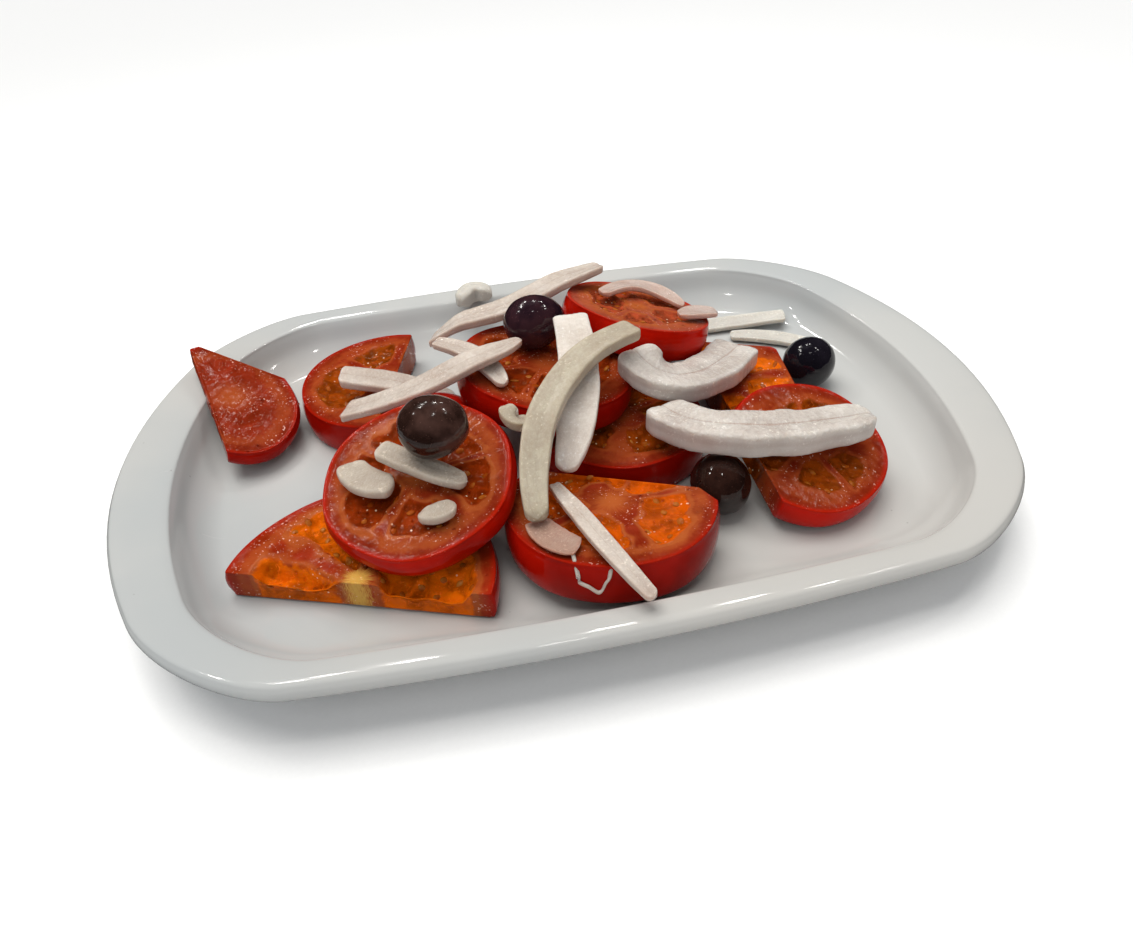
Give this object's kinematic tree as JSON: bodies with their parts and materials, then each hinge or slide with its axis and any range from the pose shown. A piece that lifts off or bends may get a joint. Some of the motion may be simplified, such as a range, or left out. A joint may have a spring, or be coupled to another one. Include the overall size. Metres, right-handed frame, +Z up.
{
  "type": "tomato salad",
  "caption": "Oblong glazed plate of sliced tomato with slivers of onion and whole black olives on top.",
  "frame": {"origin": "on the table under the middle of the plate", "axes": "+X along the plate towards its right end, +Y towards its far side, +Z up"},
  "size_m": [0.2876, 0.1956, 0.056],
  "materials": {
    "plate": "glossy off-white glaze",
    "tomato": "wet cut tomato flesh and glossy red skin",
    "onion": "moist translucent white onion",
    "olive": "glossy purple-black olive skin"
  },
  "bodies": {
    "root": {"olive_back": "olive", "olive_back_right": "olive", "olive_front_left": "olive", "olive_front_right": "olive", "onion_crescent_right": "onion", "onion_cup_right": "onion", "onion_curl_left": "onion", "onion_far_floor": "onion", "onion_far_wall": "onion", "onion_hook": "onion", "onion_long_back": "onion", "onion_long_front": "onion", "onion_lower_left": "onion", "onion_on_slice_chip": "onion", "onion_on_slice_left": "onion", "onion_on_slice_middle": "onion", "onion_petal_centre": "onion", "onion_pink_back": "onion", "onion_pink_right": "onion", "onion_small_cup": "onion", "onion_thin_film": "onion", "onion_tip_back": "onion", "onion_upper_left": "onion", "plate": "plate", "tomato_end_middle": "tomato", "tomato_half_back_left": "tomato", "tomato_half_front_left": "tomato", "tomato_piece_back_right": "tomato", "tomato_slab_left": "tomato", "tomato_slice_back": "tomato", "tomato_slice_back_under": "tomato", "tomato_slice_front": "tomato", "tomato_slice_middle": "tomato", "tomato_slice_right": "tomato", "tomato_thick_front": "tomato", "tomato_thick_middle": "tomato"}
  },
  "joints": []
}
